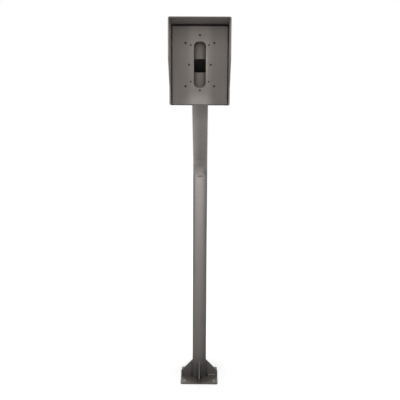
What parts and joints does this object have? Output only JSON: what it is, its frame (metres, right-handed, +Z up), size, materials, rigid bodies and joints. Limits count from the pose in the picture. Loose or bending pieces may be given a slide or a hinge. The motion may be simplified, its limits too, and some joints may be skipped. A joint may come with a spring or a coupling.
{
  "type": "gate intercom post",
  "caption": "Welded steel gooseneck post that carries a gate intercom: square tube on a gusseted base plate, bent forward to a hooded, perforated mounting panel.",
  "frame": {"origin": "on the upright post's axis, at the underside of the base plate", "axes": "+Z up along the post, -Y forward to the front of the head, +X to the right of a person in front"},
  "size_m": [0.173, 0.5059, 1.2375],
  "materials": {
    "plate_steel": "satin",
    "tube_steel": "satin",
    "head_steel": "satin",
    "weld_metal": "rippled"
  },
  "bodies": {
    "root": {"base_plate": "plate_steel", "post_tube": "tube_steel", "arm_tube": "tube_steel", "foot_weld": "weld_metal", "gusset_right": "plate_steel", "gusset_weld_right": "weld_metal", "gusset_rear": "plate_steel", "gusset_weld_rear": "weld_metal", "gusset_left": "plate_steel", "gusset_weld_left": "weld_metal", "gusset_front": "plate_steel", "gusset_weld_front": "weld_metal", "back_plate": "head_steel", "arm_weld": "weld_metal", "mounting_panel": "head_steel", "hood": "head_steel", "panel_weld_left": "weld_metal", "hood_weld_left": "weld_metal", "panel_weld_right": "weld_metal", "hood_weld_right": "weld_metal", "hood_weld_top": "weld_metal"}
  },
  "joints": []
}
